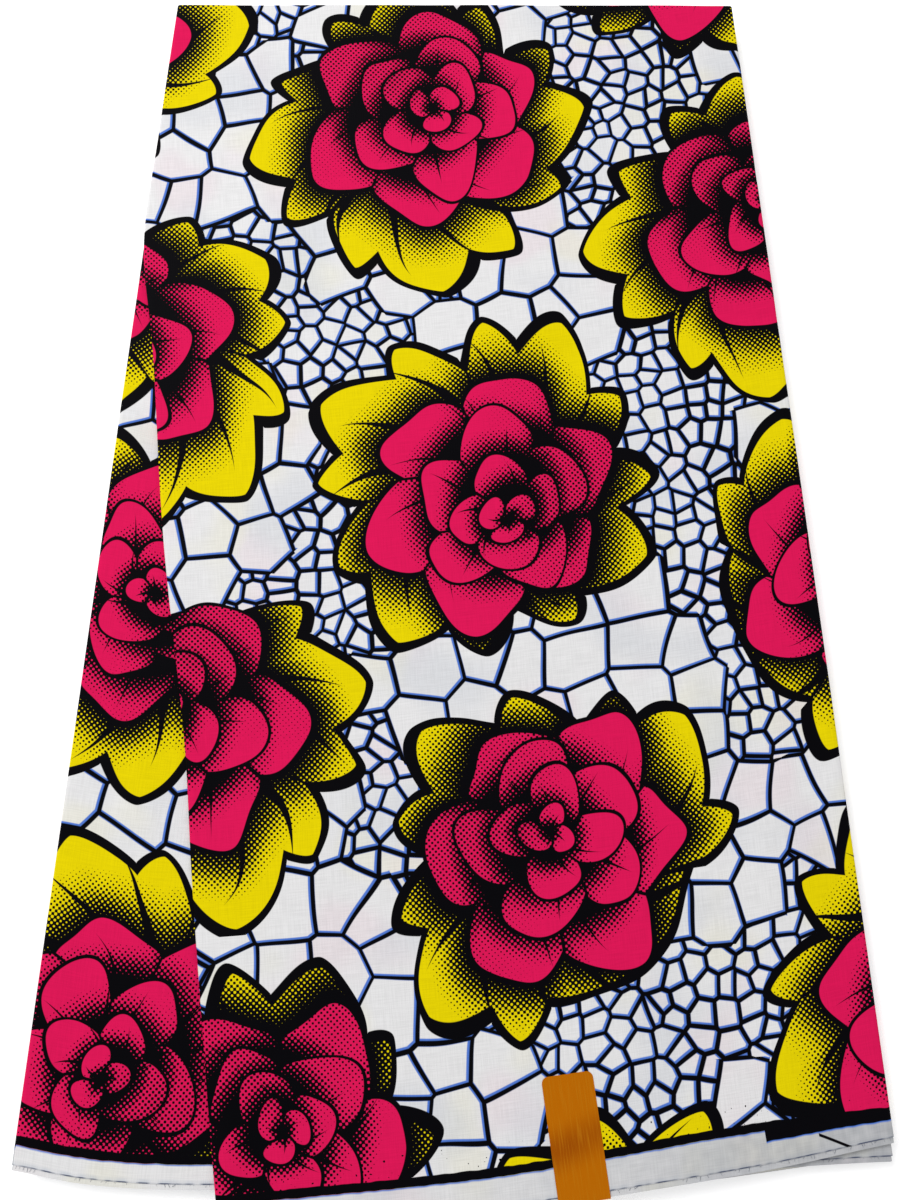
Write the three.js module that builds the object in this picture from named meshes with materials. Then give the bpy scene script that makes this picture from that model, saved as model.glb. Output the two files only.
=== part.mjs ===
// A length of printed cotton folded into a flat pack. The cloth is doubled across its width, so
// that both selvedges lie at the front, and then folded to and fro along its length. The top
// panel is swung round on the next one, which fans out at the front left.
// Millimetres, +X to the right, +Y towards the doubled fold, +Z up, lying on its underside.
import * as THREE from 'three';

// Driving sizes. Plan sizes run from the pack's left fold and the front of its left selvedge.
const wall = 1.0; // given to each layer of cloth that shows
const gap = 0.3; // between pieces, and between the two halves of a doubled panel
const hiddenHeight = 8.6; // of the layers under the two panels that show
const labelWall = 0.6;

const packDepth = 584; // half the width of the cloth
const packWidth = 300; // from side fold to side fold at the back
const foldRise = 28; // the doubled fold runs this much further back at its right end
const rightFoldSwing = 97; // the right fold moves out this far from back to front
const rightFrontY = 37; // front right corner of the under panel

// Left fold of the top panel: where it lies at each distance from the front
const topLeftFold = [
  { name: 'back corner', x: 1, y: 584.5 },
  { name: 'along the pack', x: 0.6, y: 510 },
  { name: 'start of the swing', x: 1.2, y: 446 },
  { name: 'first bend', x: 14, y: 386 },
  { name: 'upper middle', x: 31.5, y: 292 },
  { name: 'lower middle', x: 54, y: 196 },
  { name: 'lower quarter', x: 67.5, y: 123 },
  { name: 'front corner', x: 96, y: -18 },
];

// Selvedge of the top panel, from left to right
const topSelvedge = [
  { name: 'left corner', x: 96, y: -18 },
  { name: 'beside the label', x: 209, y: 2 },
  { name: 'right third', x: 327, y: 28 },
  { name: 'right corner', x: 395.2, y: 46 },
];

// Selvedge of the under panel, which shows at the left and again past the right corner
const underSelvedge = [
  { name: 'left corner', x: 0.5, y: 3 },
  { name: 'below the top panel', x: 92, y: 2 },
  { name: 'right corner', x: packWidth - 1 + rightFoldSwing, y: rightFrontY },
];

// Front of the hidden layers, kept back under both panels
const hiddenSelvedge = [
  { name: 'left corner', x: 1.5, y: 1.5 },
  { name: 'foot of the left fold', x: 88, y: 0 },
  { name: 'under the swung corner', x: 130, y: -9 },
  { name: 'middle', x: 215, y: -1 },
  { name: 'right corner', x: 394, y: 34 },
];

// Soft swells and hollows of the pack's upper side: height, and reach each way
const swells = [
  { name: 'crown', x: 150, y: 340, rise: 1.5, across: 105, along: 190 },
  { name: 'left fold, front', x: 95, y: 90, rise: 0.7, across: 45, along: 110 },
  { name: 'back right', x: 240, y: 520, rise: 0.6, across: 50, along: 80 },
  { name: 'hollow beside the crown', x: 255, y: 250, rise: -0.5, across: 40, along: 120 },
  { name: 'fan at the right', x: 400, y: 40, rise: -2.6, across: 70, along: 230 },
  { name: 'swung corner', x: 105, y: -25, rise: -1.4, across: 70, along: 32 },
];

// Groups of hidden layers from the bottom up: share of the height, and how far each group's
// edge lies inside the pack at its left, right, back and front
const layerGroups = [
  { name: 'lowest', share: 0.22, left: 4.0, right: 24.0, back: 5.0, front: 5.0 },
  { name: 'second', share: 0.20, left: 1.2, right: 13.0, back: 1.5, front: 2.0 },
  { name: 'third', share: 0.21, left: 3.2, right: 7.0, back: 4.0, front: 4.5 },
  { name: 'fourth', share: 0.19, left: 0.8, right: 3.2, back: 1.0, front: 1.2 },
  { name: 'uppermost', share: 0.18, left: 2.4, right: 0.6, back: 2.6, front: 3.0 },
];
const grooveDepth = 1.0; // of the crease between two groups

const label = {
  width: 23.5,
  backX: 244.8, // middle of its back edge
  backY: 61.7,
  turn: 12.4, // degrees from the pack's own direction
  overEdge: 1.0, // how far it stands out past the selvedge before it turns down
  drop: 2.6, // of the part that is bent down over the edge
  cornerRadius: 3,
};

// Steps of the meshes
const acrossSteps = 14;
const alongSteps = 20;
const bendSteps = 4; // round the doubled fold
const edgeSteps = 3; // round a wall's edge

const panelHeight = 2 * wall + gap; // of a doubled panel
const underLevel = hiddenHeight + gap;
const topLevel = underLevel + panelHeight + gap;
const labelLevel = topLevel + panelHeight + gap;

const backLeft = new THREE.Vector2(1, packDepth + 0.5);
const backRight = new THREE.Vector2(packWidth - 1, packDepth + 0.5 + foldRise);
const frontRight = new THREE.Vector2(backRight.x + rightFoldSwing, rightFrontY);

function spline(rows) {
  return new THREE.SplineCurve(rows.map((row) => new THREE.Vector2(row.x, row.y)));
}

function swell(x, y) {
  return swells.reduce((sum, s) => {
    const reach = ((x - s.x) / s.across) ** 2 + ((y - s.y) / s.along) ** 2;
    return sum + s.rise * Math.exp(-reach);
  }, 0);
}

// A four-sided patch of the plan between its back, front, left and right edges
function patch({ back, front, left, right }) {
  const corner = (curve, t) => curve.getPoint(t);
  const corners = [corner(left, 0), corner(right, 0), corner(left, 1), corner(right, 1)];
  return (u, v) => {
    const point = left.getPointAt(v).multiplyScalar(1 - u);
    point.addScaledVector(right.getPointAt(v), u);
    point.addScaledVector(back.getPointAt(u), 1 - v);
    point.addScaledVector(front.getPointAt(u), v);
    point.addScaledVector(corners[0], -(1 - u) * (1 - v));
    point.addScaledVector(corners[1], -u * (1 - v));
    point.addScaledVector(corners[2], -(1 - u) * v);
    point.addScaledVector(corners[3], -u * v);
    return point;
  };
}

// Joins rings of equal length into a closed solid, with flat caps on the first and last ring
function loft(rings) {
  const size = rings[0].length;
  const positions = rings.flat().flatMap((p) => [p.x, p.y, p.z]);
  const index = [];
  for (let r = 0; r + 1 < rings.length; r++) {
    for (let i = 0; i < size; i++) {
      const a = r * size + i;
      const b = r * size + ((i + 1) % size);
      index.push(a, b, a + size, b, b + size, a + size);
    }
  }
  const last = (rings.length - 1) * size;
  for (let low = 0, high = size - 1; high - low > 1; ) {
    // Each cap is a strip that zigzags between the two faces of the wall
    index.push(low, high, low + 1);
    index.push(last + high, last + low, last + low + 1);
    low += 1;
    if (high - low > 1) {
      index.push(low, high, high - 1);
      index.push(last + high, last + low, last + high - 1);
      high -= 1;
    }
  }
  return solid(positions, index);
}

function solid(positions, index) {
  const geometry = new THREE.BufferGeometry();
  geometry.setAttribute('position', new THREE.Float32BufferAttribute(positions, 3));
  geometry.setIndex(index);
  geometry.computeVertexNormals();
  return geometry;
}

// Section of a wall across its width: how far across each point lies, and how far out
function wallSection(width, thickness) {
  const half = thickness / 2;
  const points = [];
  const across = (i) => half + ((width - thickness) * i) / acrossSteps;
  for (let i = 0; i <= acrossSteps; i++) points.push({ across: across(i), out: half });
  for (let i = 1; i < edgeSteps; i++) {
    const angle = Math.PI / 2 - (Math.PI * i) / edgeSteps;
    points.push({ across: width - half + half * Math.cos(angle), out: half * Math.sin(angle) });
  }
  for (let i = acrossSteps; i >= 0; i--) points.push({ across: across(i), out: -half });
  for (let i = 1; i < edgeSteps; i++) {
    const angle = -Math.PI / 2 - (Math.PI * i) / edgeSteps;
    points.push({ across: half + half * Math.cos(angle), out: half * Math.sin(angle) });
  }
  return points;
}

// One ring of a wall between two plan points. The wall faces up when facing is 1 and down when
// it is -1, and outward is the plan direction that it leans to in between.
function wallRing(place, height, tilt, outward, thickness) {
  const left = place(0);
  const right = place(1);
  const width = left.distanceTo(right);
  return wallSection(width, thickness).map(({ across, out }) => {
    const plan = place(across / width).addScaledVector(outward, out * Math.sin(tilt));
    const z = height + swell(plan.x, plan.y) + out * Math.cos(tilt);
    return new THREE.Vector3(plan.x, plan.y, z);
  });
}

// A doubled panel: an upper half, the bend at the back, and a lower half that runs on by lowerReach
function doubledPanel(sides, level, lowerReach) {
  const plan = patch(sides);
  const radius = (wall + gap) / 2;
  const middle = level + panelHeight / 2;
  const backEdge = plan(1, 0).sub(plan(0, 0)).normalize();
  const outward = new THREE.Vector2(-backEdge.y, backEdge.x);
  const rings = [];
  for (let i = 0; i <= alongSteps; i++) {
    const v = 1 - i / alongSteps;
    rings.push(wallRing((u) => plan(u, v), middle + radius, 0, outward, wall));
  }
  for (let i = 1; i < bendSteps; i++) {
    const angle = (Math.PI * i) / bendSteps;
    const place = (u) => plan(u, 0).addScaledVector(outward, radius * Math.sin(angle));
    rings.push(wallRing(place, middle + radius * Math.cos(angle), angle, outward, wall));
  }
  for (let i = 0; i <= alongSteps; i++) {
    const v = i / alongSteps;
    const place = (u) => plan(u, v).addScaledVector(outward, -lowerReach(u) * v ** 8);
    rings.push(wallRing(place, middle - radius, Math.PI, outward, wall));
  }
  return loft(rings);
}

function topSides() {
  const corner = topSelvedge[topSelvedge.length - 1];
  return {
    back: new THREE.LineCurve(backLeft, backRight),
    front: spline(topSelvedge),
    left: spline(topLeftFold),
    right: new THREE.LineCurve(backRight, new THREE.Vector2(corner.x, corner.y)),
  };
}

function underSides() {
  const inset = 1; // keeps its bend at the back inside the top panel's
  const back = [
    new THREE.Vector2(underSelvedge[0].x, backLeft.y - inset),
    new THREE.Vector2(backRight.x - inset, backRight.y - inset),
  ];
  return {
    back: new THREE.LineCurve(back[0], back[1]),
    front: spline(underSelvedge),
    left: new THREE.LineCurve(back[0], new THREE.Vector2(underSelvedge[0].x, underSelvedge[0].y)),
    right: new THREE.LineCurve(back[1], frontRight),
  };
}

function hiddenSides() {
  const inset = 2.4;
  const first = hiddenSelvedge[0];
  const last = hiddenSelvedge[hiddenSelvedge.length - 1];
  const back = [
    new THREE.Vector2(first.x, backLeft.y - inset),
    new THREE.Vector2(backRight.x - inset, backRight.y - inset),
  ];
  return {
    back: new THREE.LineCurve(back[0], back[1]),
    front: spline(hiddenSelvedge),
    left: new THREE.LineCurve(back[0], new THREE.Vector2(first.x, first.y)),
    right: new THREE.LineCurve(back[1], new THREE.Vector2(last.x, last.y)),
  };
}

function topPanel() {
  return doubledPanel(topSides(), topLevel, (u) => 1 + 2 * u);
}

function underPanel() {
  return doubledPanel(underSides(), underLevel, () => 2.5);
}

// The hidden layers: plan outlines stacked from the flat underside up, drawn in at each crease
// between two groups, and closed above by the swelling upper side
function hiddenLayers() {
  const plan = patch(hiddenSides());
  const width = packWidth + rightFoldSwing / 2;
  const inside = (group, extra) => ({
    left: (group.left + extra) / width,
    right: 1 - (group.right + extra) / width,
    back: (group.back + extra) / packDepth,
    front: 1 - (group.front + extra) / packDepth,
  });
  const at = (box, u, v) =>
    plan(box.left + (box.right - box.left) * u, box.back + (box.front - box.back) * v);
  // The grid's border, anticlockwise seen from above, from the back left corner
  const border = [];
  for (let j = 0; j < alongSteps; j++) border.push([0, j]);
  for (let i = 0; i < acrossSteps; i++) border.push([i, alongSteps]);
  for (let j = alongSteps; j > 0; j--) border.push([acrossSteps, j]);
  for (let i = acrossSteps; i > 0; i--) border.push([i, 0]);

  const positions = [];
  const index = [];
  const addPoint = (box, i, j, share) => {
    const { x, y } = at(box, i / acrossSteps, j / alongSteps);
    positions.push(x, y, share * (hiddenHeight + swell(x, y)));
    return positions.length / 3 - 1;
  };
  const addLoop = (box, share) => border.map(([i, j]) => addPoint(box, i, j, share));

  let base = 0;
  const loops = [];
  layerGroups.forEach((group) => {
    const top = base + group.share;
    const lip = group.share * 0.25;
    loops.push(addLoop(inside(group, grooveDepth), base));
    loops.push(addLoop(inside(group, 0), base + lip));
    loops.push(addLoop(inside(group, 0), top - lip));
    base = top;
  });
  const lidBox = inside(layerGroups[layerGroups.length - 1], grooveDepth);
  const grid = [];
  for (let j = 0; j <= alongSteps; j++) {
    grid.push([]);
    for (let i = 0; i <= acrossSteps; i++) grid[j].push(addPoint(lidBox, i, j, 1));
  }
  loops.push(border.map(([i, j]) => grid[j][i]));

  loops.slice(1).forEach((upper, level) => {
    const lower = loops[level];
    lower.forEach((_, k) => {
      const next = (k + 1) % lower.length;
      index.push(lower[k], lower[next], upper[k], upper[k], lower[next], upper[next]);
    });
  });
  for (let j = 0; j < alongSteps; j++) {
    for (let i = 0; i < acrossSteps; i++) {
      const [a, b, c, d] = [grid[j][i], grid[j][i + 1], grid[j + 1][i + 1], grid[j + 1][i]];
      index.push(a, d, b, b, d, c);
    }
  }
  const foot = loops[0].map((k) => new THREE.Vector2(positions[3 * k], positions[3 * k + 1]));
  THREE.ShapeUtils.triangulateShape(foot, []).forEach(([a, b, c]) => {
    index.push(loops[0][c], loops[0][b], loops[0][a]);
  });
  return solid(positions, index);
}

// The sticker: it lies over the top panel and bends down in front of its selvedge
function labelSheet() {
  const turn = THREE.MathUtils.degToRad(label.turn);
  const forward = new THREE.Vector2(Math.sin(turn), -Math.cos(turn));
  const rightward = new THREE.Vector2(Math.cos(turn), Math.sin(turn));
  const back = new THREE.Vector2(label.backX, label.backY);
  const selvedge = spline(topSelvedge).getPoint(0.45);
  const edge = selvedge.sub(back).dot(forward) + label.overEdge + wall + gap;
  const bend = labelWall / 2 + gap;
  const middle = labelLevel + labelWall / 2;

  // Stations down the label: how far forward, how high, how far it leans, how wide
  const stations = [];
  for (let i = 0; i <= 3; i++) {
    const angle = (Math.PI / 2) * (i / 3);
    const inset = label.cornerRadius * (1 - Math.sin(angle));
    const start = label.cornerRadius * (1 - Math.cos(angle));
    stations.push({ forward: start, height: middle, tilt: 0, inset });
  }
  for (const share of [0.35, 0.7, 1]) {
    stations.push({ forward: edge * share, height: middle, tilt: 0, inset: 0 });
  }
  for (let i = 1; i <= 3; i++) {
    const tilt = (Math.PI / 2) * (i / 3);
    const reach = edge + bend * Math.sin(tilt);
    stations.push({ forward: reach, height: middle - bend * (1 - Math.cos(tilt)), tilt, inset: 0 });
  }
  const tip = { forward: edge + bend, height: middle - bend - label.drop };
  stations.push({ ...tip, tilt: Math.PI / 2, inset: 0 });

  const rings = stations.map((station) => {
    const width = label.width - 2 * station.inset;
    const place = (u) =>
      back
        .clone()
        .addScaledVector(forward, station.forward)
        .addScaledVector(rightward, (u - 0.5) * width);
    return wallRing(place, station.height, station.tilt, forward, labelWall);
  });
  return loft(rings.reverse());
}

function cloth() {
  return new THREE.MeshStandardMaterial({ color: 0xe2dfe0, roughness: 0.85, metalness: 0 });
}

function foil() {
  return new THREE.MeshStandardMaterial({ color: 0xb8730a, roughness: 0.35, metalness: 0.6 });
}

const pieces = [
  { name: 'hidden_layers', geometry: hiddenLayers(), material: cloth() },
  { name: 'under_panel', geometry: underPanel(), material: cloth() },
  { name: 'top_panel', geometry: topPanel(), material: cloth() },
  { name: 'label', geometry: labelSheet(), material: foil() },
];

const pack = new THREE.Group();
for (const { name, geometry, material } of pieces) {
  const mesh = new THREE.Mesh(geometry, material);
  mesh.name = name;
  pack.add(mesh);
}

// The origin is the middle of the underside of the pack's box
const box = new THREE.Box3().setFromObject(pack);
const centre = box.getCenter(new THREE.Vector3());
pack.position.set(-centre.x, -centre.y, 0);

export default pack;
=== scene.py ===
# A length of printed cotton folded into a flat pack, with its sticker, on a pale table
import math

import bmesh
import bpy
import numpy as np
from mathutils import Matrix, Vector


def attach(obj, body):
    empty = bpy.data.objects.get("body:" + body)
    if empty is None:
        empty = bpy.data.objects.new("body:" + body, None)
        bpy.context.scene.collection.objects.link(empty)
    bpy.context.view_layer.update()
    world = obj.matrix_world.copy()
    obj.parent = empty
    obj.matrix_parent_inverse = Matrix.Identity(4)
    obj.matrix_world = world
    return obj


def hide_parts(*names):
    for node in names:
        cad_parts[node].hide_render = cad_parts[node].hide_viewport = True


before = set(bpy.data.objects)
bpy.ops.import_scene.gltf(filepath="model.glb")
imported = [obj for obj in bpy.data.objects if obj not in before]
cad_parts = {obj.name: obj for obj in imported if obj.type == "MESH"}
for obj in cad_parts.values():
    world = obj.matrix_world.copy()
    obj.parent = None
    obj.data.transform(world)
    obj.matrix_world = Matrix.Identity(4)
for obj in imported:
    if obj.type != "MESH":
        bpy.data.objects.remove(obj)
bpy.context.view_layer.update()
mm = 0.001
turn = 2 * math.pi

# Plan of the pack in mm, from its left fold and the front of its left selvedge
pack = {
    "centre": (198.19, 297.31),  # middle of the pack's box, where the frame's origin lies
    "backLeft": (1, 584.5),
    "backRight": (299, 612.5),
    "frontRight": (396, 37),
    "hiddenHeight": 8.6,
    "gap": 0.3,
    "panelHeight": 2.3,
    "reachPower": 8,  # how late a lower layer starts to reach past the one above, towards the front
}
pack["underLevel"] = pack["hiddenHeight"] + pack["gap"]
pack["topLevel"] = pack["underLevel"] + pack["panelHeight"] + pack["gap"]

topLeftFold = [
    (1, 584.5), (0.6, 510), (1.2, 446), (14, 386),
    (31.5, 292), (54, 196), (67.5, 123), (96, -18),
]
topSelvedge = [(96, -18), (209, 2), (327, 28), (395.2, 46)]
underSelvedge = [(0.5, 3), (92, 2), (396, 37)]
hiddenSelvedge = [(1.5, 1.5), (88, 0), (130, -9), (215, -1), (394, 34)]

# Soft swells of the upper side: x, y, rise, reach across, reach along
swells = [
    (150, 340, 1.5, 105, 190),
    (95, 90, 0.7, 45, 110),
    (240, 520, 0.6, 50, 80),
    (255, 250, -0.5, 40, 120),
    (400, 40, -2.6, 70, 230),
    (105, -25, -1.4, 70, 32),
]

# Troughs and ridges pressed into the cloth: from, to, rise, width
creases = [
    ((80, 98), (98, 30), -0.80, 4.0),
    ((103, -8), (92, 70), 0.60, 5.0),
    ((118, -12), (108, 70), -0.45, 6.0),
    ((70, 150), (38, 300), 0.50, 7.0),
    ((150, 20), (140, 150), -0.40, 9.0),
    ((130, 380), (250, 412), -0.85, 5.0),
    ((232, 498), (330, 516), -0.80, 5.0),
    ((240, 416), (340, 437), -0.60, 5.5),
    ((200, 230), (330, 262), -0.45, 7.0),
    ((110, 250), (200, 236), 0.40, 8.0),
    ((300, 80), (262, 330), -0.35, 11.0),
    ((352, 60), (330, 190), 0.55, 7.0),
    ((372, 120), (345, 280), -0.45, 8.0),
    ((20, 470), (150, 500), -0.45, 8.0),
    ((180, 560), (290, 500), 0.45, 10.0),
    ((60, 430), (45, 560), 0.45, 7.0),
    ((250, 400), (330, 330), -0.30, 14.0),
    ((210, 120), (320, 150), 0.45, 7.0),
    ((18, 30), (26, 200), -0.50, 5.0),
    ((40, 150), (22, 330), 0.50, 7.0),
    ((60, 20), (70, 110), 0.45, 6.0),
    ((5, 230), (60, 250), -0.50, 5.0),
]


def alongCurve(points, smooth=True, steps=400):
    points = np.array(points, float)
    last = len(points) - 1
    place = np.linspace(0, last, steps + 1)
    knot = np.minimum(place.astype(int), last - 1)
    share = (place - knot)[:, None]
    if smooth:
        before, start, end, after = (points[np.clip(knot + k, 0, last)] for k in (-1, 0, 1, 2))
        leave, arrive = (end - before) / 2, (after - start) / 2
        line = (
            (2 * start - 2 * end + leave + arrive) * share**3
            + (3 * end - 3 * start - 2 * leave - arrive) * share**2
            + leave * share
            + start
        )
    else:
        line = points[knot] * (1 - share) + points[knot + 1] * share
    run = np.concatenate([[0], np.cumsum(np.linalg.norm(np.diff(line, axis=0), axis=1))])
    run /= run[-1]

    def at(t):
        return np.stack([np.interp(t, run, line[:, k]) for k in (0, 1)], axis=-1)

    return at


def fourSided(back, front, left, right):
    def at(u, v):
        u, v = np.broadcast_arrays(u, v)
        a, b = u[..., None], v[..., None]
        flat = left(v) * (1 - a) + right(v) * a + back(u) * (1 - b) + front(u) * b
        corners = (left(0) * (1 - a) + right(0) * a) * (1 - b)
        return flat - corners - (left(1) * (1 - a) + right(1) * a) * b

    return at


def sidesOf(selvedge, leftFold, backLeft, backRight, frontRight):
    return fourSided(
        alongCurve([backLeft, backRight], smooth=False),
        alongCurve(selvedge),
        alongCurve(leftFold, smooth=len(leftFold) > 2),
        alongCurve([backRight, frontRight], smooth=False),
    )


def swellAt(x, y):
    return sum(
        rise * np.exp(-(((x - sx) / across) ** 2) - ((y - sy) / along) ** 2)
        for sx, sy, rise, across, along in swells
    )


creaseForm = {"fullShare": 0.3, "fadeShare": 0.16, "bow": 3, "bowTurn": 3.1}  # ends and bow of each


def creaseAt(x, y):
    full, fade = creaseForm["fullShare"], creaseForm["fadeShare"]
    total = np.zeros_like(x)
    for (x0, y0), (x1, y1), rise, width in creases:
        dx, dy = x1 - x0, y1 - y0
        length = math.hypot(dx, dy)
        run = ((x - x0) * dx + (y - y0) * dy) / length**2
        away = ((x - x0) * dy - (y - y0) * dx) / length
        ends = np.exp(-(np.maximum(np.abs(run - 0.5) - full, 0) / fade) ** 2)
        bow = creaseForm["bow"] * np.sin(run * creaseForm["bowTurn"])
        total += rise * ends * np.exp(-(((away + bow) / width) ** 2))
    return total


# The fine unevenness of laid cloth, in waves: rise, length, swing, length of the swing
wavesAcross = (0.10, 13.1, 1.3, 41.0)
wavesAlong = (0.09, 17.3, 1.1, 29.0)
wavesSlanting = {"rise": 0.06, "length": 8.3, "slant": 0.7, "start": 0.4}


def unevenAt(x, y):
    total = wavesSlanting["rise"] * np.sin(
        (x + wavesSlanting["slant"] * y) / wavesSlanting["length"] + wavesSlanting["start"])
    for (rise, length, swing, over), first, second in ((wavesAcross, x, y), (wavesAlong, y, x)):
        total = total + rise * np.sin(first / length + swing * np.sin(second / over))
    return total


def toRow(x, y, z):
    cx, cy = pack["centre"]
    return np.stack([(x - cx) * mm, (y - cy) * mm, z * mm], axis=-1)


def gridMesh(name, points, printAt, selvedgeAt):
    rows, columns = points.shape[:2]
    mesh = bpy.data.meshes.new(name)
    index = np.arange(rows * columns).reshape(rows, columns)
    quads = np.stack([index[:-1, :-1], index[1:, :-1], index[1:, 1:], index[:-1, 1:]], axis=-1)
    mesh.from_pydata(points.reshape(-1, 3).tolist(), [], quads.reshape(-1, 4).tolist())
    corners = np.array([loop.vertex_index for loop in mesh.loops])
    for label, places in (("print", printAt), ("selvedge", selvedgeAt)):
        layer = mesh.uv_layers.new(name=label)
        layer.data.foreach_set("uv", places.reshape(-1, 2)[corners].ravel())
    mesh.update()
    return mesh


def linked(name, data):
    made = bpy.data.objects.new(name, data)
    bpy.context.scene.collection.objects.link(made)
    return made


def evaluated(holder):
    # The holder's mesh with its modifiers done, and the holder gone
    bpy.context.view_layer.update()
    depsgraph = bpy.context.evaluated_depsgraph_get()
    made = bpy.data.meshes.new_from_object(holder.evaluated_get(depsgraph))
    bpy.data.objects.remove(holder)
    return made


def finished(mesh, name, thickness, sharpOver=50):
    # Gives a sheet its thickness, closes it and keeps edges crisp that turn by more degrees
    raw = linked(name + "Raw", mesh)
    shell = raw.modifiers.new("thickness", "SOLIDIFY")
    shell.thickness = thickness * mm
    shell.offset = 0
    shell.use_rim = True
    made = evaluated(raw)
    work = bmesh.new()
    work.from_mesh(made)
    for face in work.faces:
        face.smooth = True
    for edge in work.edges:
        edge.smooth = edge.calc_face_angle(0) < math.radians(sharpOver)
    work.to_mesh(made)
    work.free()
    made.name = name
    return linked(name, made)


# A panel of doubled cloth seen in section: a flap turned under at its left fold, the run that
# shows, and a return under its right fold
def panelSection(width, settings, columns):
    reach, drop = settings["bendReach"], settings["bendDrop"]
    flap, back, even = settings["flap"], settings["return"], settings["evenSpacing"]
    angle = np.linspace(0, math.pi, columns["bend"] + 1)
    aside, above = np.sin(angle), np.cos(angle)
    share = even + (1 - 2 * even) * np.linspace(0, 1, columns["main"] + 1)
    main = 0.5 - 0.5 * np.cos(math.pi * share) / math.cos(math.pi * even)
    parts = [
        (np.linspace(flap, reach, columns["flap"] + 1)[:-1], -drop, 0, -1),
        (reach - reach * aside, -drop * above, -aside / reach, -above / drop),
        (reach + (width - 2 * reach) * main[1:-1], drop, 0, 1),
        (width - reach + reach * aside, drop * above, aside / reach, above / drop),
        (np.linspace(width - reach, width - back, columns["flap"] + 1)[1:], -drop, 0, -1),
    ]
    across, up, outAcross, outUp = (
        np.concatenate([np.broadcast_to(part[k], part[0].shape) for part in parts])
        for k in range(4)
    )
    size = np.hypot(outAcross, outUp)
    return across, up, outAcross / size, outUp / size


def doubledPanel(name, plan, settings):
    columns, rows = settings["columns"], settings["rows"]
    grain = math.radians(settings["grain"])
    east = np.array([math.cos(grain), math.sin(grain)])
    north = np.array([-math.sin(grain), math.cos(grain)])
    anchor = np.array(settings["anchor"], float)
    front = plan(np.linspace(0, 1, 200), np.ones(200)) - anchor
    frontEast, frontNorth = front @ east, front @ north
    half, thickness = settings["halfGap"], settings["thickness"]
    middle = settings["level"] + pack["panelHeight"] / 2

    def section(v, reachForward):
        ends = plan(np.array([0.0, 1.0]), np.array([v, v]))
        width = float(np.linalg.norm(ends[1] - ends[0]))
        lean = (ends[1] - ends[0]) / width
        across, up, outAcross, outUp = panelSection(width, settings, columns)
        place = plan(np.clip(across / width, 0, 1), np.full(across.shape, v))
        outside = (across - np.clip(across, 0, width))[:, None] * lean
        place = place + outside
        ahead = place - anchor
        s, along = ahead @ east, ahead @ north
        t = along - np.interp(s, frontEast, frontNorth)
        first = columns["flap"] + columns["bend"]
        last = len(across) - first - 1
        step = np.hypot(np.diff(across), np.diff(up))
        run = np.concatenate([[0], np.cumsum(step)])
        s[:first] = s[first] - (run[first] - run[:first])
        s[last + 1:] = s[last] + (run[last + 1:] - run[last])
        t[:first], t[last + 1:] = t[first], t[last]
        forward = reachForward * v ** pack["reachPower"]
        place = place - north * forward
        showing = (up / settings["bendDrop"] + 1) / 2
        rise = swellAt(place[:, 0], place[:, 1])
        pressed = creaseAt(place[:, 0], place[:, 1]) + unevenAt(place[:, 0], place[:, 1])
        rise = rise + showing * pressed
        return place, middle + up + rise, lean, outAcross, outUp, s, t, forward

    def extraAt(s):
        return np.interp(s, *zip(*settings["marginExtra"]))

    points, prints, edges = [], [], []
    vs = np.linspace(0, 1, rows + 1)
    backPlan = plan(np.array([0.0, 1.0]), np.zeros(2))
    backLean = (backPlan[1] - backPlan[0]) / np.linalg.norm(backPlan[1] - backPlan[0])
    backward = np.array([-backLean[1], backLean[0]])
    foldT = None

    def addRow(v, side, reachForward, tilt=None):
        nonlocal foldT
        place, z, lean, outAcross, outUp, s, t, forward = section(v, reachForward)
        cosine = side if tilt is None else math.cos(tilt)
        moved = place + (outAcross * half * cosine)[:, None] * lean
        if tilt is not None:
            moved = moved + backward * (half * math.sin(tilt))
        points.append(toRow(moved[:, 0], moved[:, 1], z + outUp * half * cosine))
        if side > 0 and tilt is None:
            foldT = t
            prints.append(np.stack([s, t], axis=-1) * mm)
            edges.append(np.stack([s, t - extraAt(s)], axis=-1) * mm)
            return
        own = t + reachForward - forward
        if tilt is not None:
            own = foldT
        prints.append(np.stack([s, 2 * foldT - own], axis=-1) * mm)
        edges.append(np.stack([s, own - extraAt(s)], axis=-1) * mm)

    for v in vs[::-1]:
        addRow(v, 1, 0)
    for tilt in np.linspace(0, math.pi, columns["hairpin"] + 2)[1:-1]:
        addRow(0, 1, 0, tilt)
    for v in vs:
        addRow(v, -1, settings["lowerReach"])
    mesh = gridMesh(name, np.array(points), np.array(prints), np.array(edges))
    bends = columns["flap"] + columns["bend"]
    return finished(mesh, name, thickness), points[0][bends:-bends]


topCloth = {
    "level": pack["topLevel"],
    "bendReach": 2.0,
    "bendDrop": 0.78,
    "flap": 46,  # turned under at the left fold, in mm
    "return": 34,  # and under the right fold
    "halfGap": 0.17,
    "thickness": 0.27,
    "lowerReach": 2.6,
    "grain": 9.65,
    "anchor": (396, 37),
    "marginExtra": [  # from the right fold: how much wider the bare margin is there
        (-300, 4.2), (-210, 4.0), (-170, 3.9), (-115, 5.3), (-88, 5.9), (-57, 5.5), (-29, 3.5), (0, 0.5),
    ],
    "rows": 120,
    "columns": {"flap": 6, "bend": 8, "main": 76, "hairpin": 3},
    "evenSpacing": 0.12,  # from 0, with the columns closest at the folds, to just below 0.5
}
topPlan = sidesOf(topSelvedge, topLeftFold, pack["backLeft"], pack["backRight"], topSelvedge[-1])
topPanel, topFront = doubledPanel("topPanel", topPlan, topCloth)
print("top panel", len(topPanel.data.polygons), "faces")

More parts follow.
